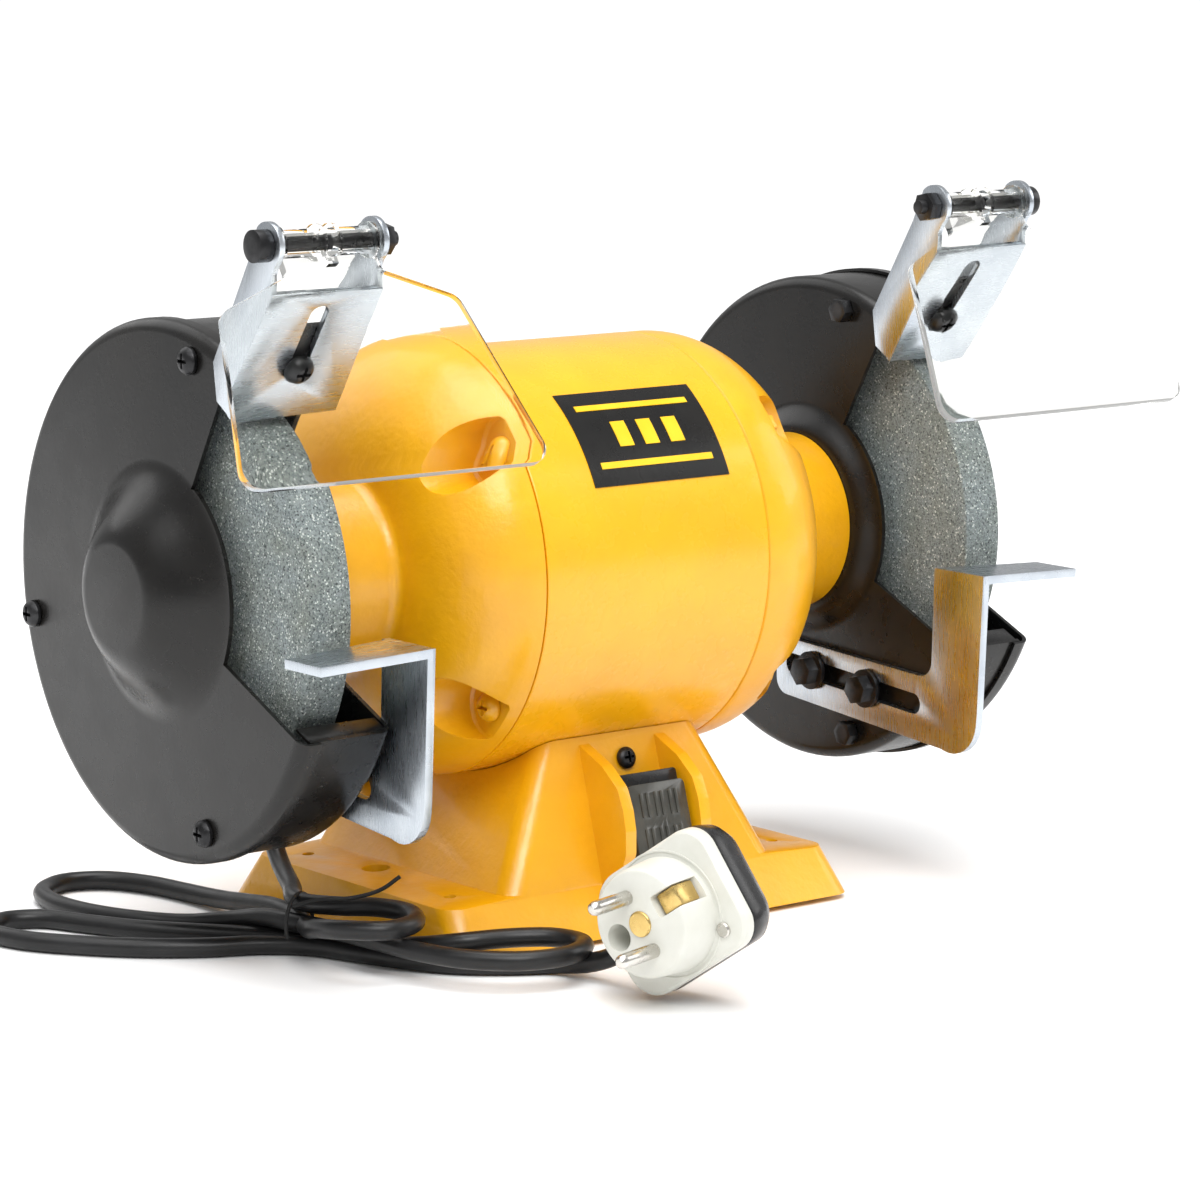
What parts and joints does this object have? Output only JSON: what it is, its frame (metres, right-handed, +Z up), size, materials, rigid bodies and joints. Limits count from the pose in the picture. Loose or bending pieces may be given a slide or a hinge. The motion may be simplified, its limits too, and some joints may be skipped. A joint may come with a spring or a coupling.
{
  "type": "bench grinder",
  "caption": "Yellow double-ended bench grinder with black wheel guards, adjustable tool rests, clear eye shields, a rocker switch and a mains lead",
  "frame": {"origin": "the point on the bench under the middle of the motor, on the spindle's vertical plane", "axes": "+X along the spindle to the right wheel, -Y towards the operator, +Z up"},
  "size_m": [0.3976, 0.2883, 0.2505],
  "materials": {
    "yellow_cast": "yellow enamel over a cast, slightly orange-peel surface",
    "yellow_tube": "smooth glossy yellow enamel",
    "black_steel": "satin black enamel on pressed sheet steel",
    "rubber": "matt black moulded rubber",
    "capacitor_skin": "plain drawn aluminium can",
    "black_bolt": "black oxide steel",
    "bright_steel": "turned bright steel",
    "lamination": "stacked electrical steel",
    "grinding_stone": "coarse grey vitrified abrasive with dark and light grains",
    "zinc_plate": "blue-grey zinc plated sheet steel",
    "clear_plastic": "clear polycarbonate sheet",
    "black_plastic": "glossy black moulded plastic",
    "boot_plastic": "smoky clear flexible cover over the switch",
    "cord_jacket": "slightly glossy black flexible sheath",
    "plug_white": "white moulded plastic with nickel pins"
  },
  "bodies": {
    "root": {"base_casting": "yellow_cast", "end_bell_left": "yellow_cast", "end_bell_right": "yellow_cast", "motor_housing": "yellow_tube", "base_cover_plate": "black_steel", "inner_guard_left": "black_steel", "inner_guard_right": "black_steel", "guard_cover_left": "black_steel", "guard_cover_right": "black_steel", "rubber_foot_front_left": "rubber", "rubber_foot_front_right": "rubber", "rubber_foot_rear_left": "rubber", "rubber_foot_rear_right": "rubber", "cord_gland": "rubber", "run_capacitor": "capacitor_skin", "housing_bolt_upper_front": "black_bolt", "housing_bolt_upper_rear": "black_bolt", "housing_bolt_lower_front": "black_bolt", "housing_bolt_lower_rear": "black_bolt", "cover_screw_left_1": "black_bolt", "cover_screw_left_2": "black_bolt", "cover_screw_left_3": "black_bolt", "cover_screw_right_1": "black_bolt", "cover_screw_right_2": "black_bolt", "cover_screw_right_3": "black_bolt", "tool_rest_bolt_left_front": "black_bolt", "tool_rest_bolt_left_rear": "black_bolt", "tool_rest_bolt_right_front": "black_bolt", "tool_rest_bolt_right_rear": "black_bolt", "bracket_screw_left": "black_bolt", "bracket_screw_right": "black_bolt", "switch_panel_screw": "black_bolt", "bearing_left": "bright_steel", "bearing_right": "bright_steel", "stator_core": "lamination", "switch_body": "black_plastic", "plug_rear": "black_plastic", "switch_boot": "boot_plastic", "power_cord": "cord_jacket", "plug_face": "plug_white"},
    "rotor": {"spindle": "bright_steel", "rotor_core": "lamination", "wheel_flange_inner_left": "bright_steel", "wheel_flange_inner_right": "bright_steel", "wheel_flange_outer_left": "bright_steel", "wheel_flange_outer_right": "bright_steel", "spindle_nut_left": "bright_steel", "spindle_nut_right": "bright_steel", "grinding_wheel_left": "grinding_stone", "grinding_wheel_right": "grinding_stone"},
    "rest_left": {"tool_rest_left": "zinc_plate"},
    "bracket_left": {"shield_bracket_left": "zinc_plate", "shield_pivot_bolt_left": "black_bolt"},
    "shield_left": {"eye_shield_left": "clear_plastic"},
    "rest_right": {"tool_rest_right": "zinc_plate"},
    "bracket_right": {"shield_bracket_right": "zinc_plate", "shield_pivot_bolt_right": "black_bolt"},
    "shield_right": {"eye_shield_right": "clear_plastic"},
    "rocker": {"switch_rocker": "black_plastic"}
  },
  "joints": [
    {"name": "spindle_turn", "type": "hinge", "parent": "root", "child": "rotor", "pos_m": [0, 0, 0.125], "axis": [1, 0, 0], "continuous": true},
    {"name": "rest_slide_left", "type": "slide", "parent": "root", "child": "rest_left", "axis": [0, 0.9965, 0.0837], "range_m": [-0.01, 0.0012]},
    {"name": "bracket_slide_left", "type": "slide", "parent": "root", "child": "bracket_left", "axis": [0, -0.529, 0.8486], "range_m": [-0.0015, 0.002]},
    {"name": "shield_tilt_left", "type": "hinge", "parent": "bracket_left", "child": "shield_left", "pos_m": [-0.142, -0.0703, 0.243], "axis": [1, 0, 0], "range_deg": [-95, 8]},
    {"name": "rest_slide_right", "type": "slide", "parent": "root", "child": "rest_right", "axis": [0, 0.9965, 0.0837], "range_m": [-0.01, 0.0012]},
    {"name": "bracket_slide_right", "type": "slide", "parent": "root", "child": "bracket_right", "axis": [0, -0.529, 0.8486], "range_m": [-0.0015, 0.002]},
    {"name": "shield_tilt_right", "type": "hinge", "parent": "bracket_right", "child": "shield_right", "pos_m": [0.142, -0.0703, 0.243], "axis": [1, 0, 0], "range_deg": [-95, 8]},
    {"name": "rocker_tilt", "type": "hinge", "parent": "root", "child": "rocker", "pos_m": [0, -0.05859, 0.03703], "axis": [1, 0, 0], "range_deg": [-16, 0]}
  ]
}
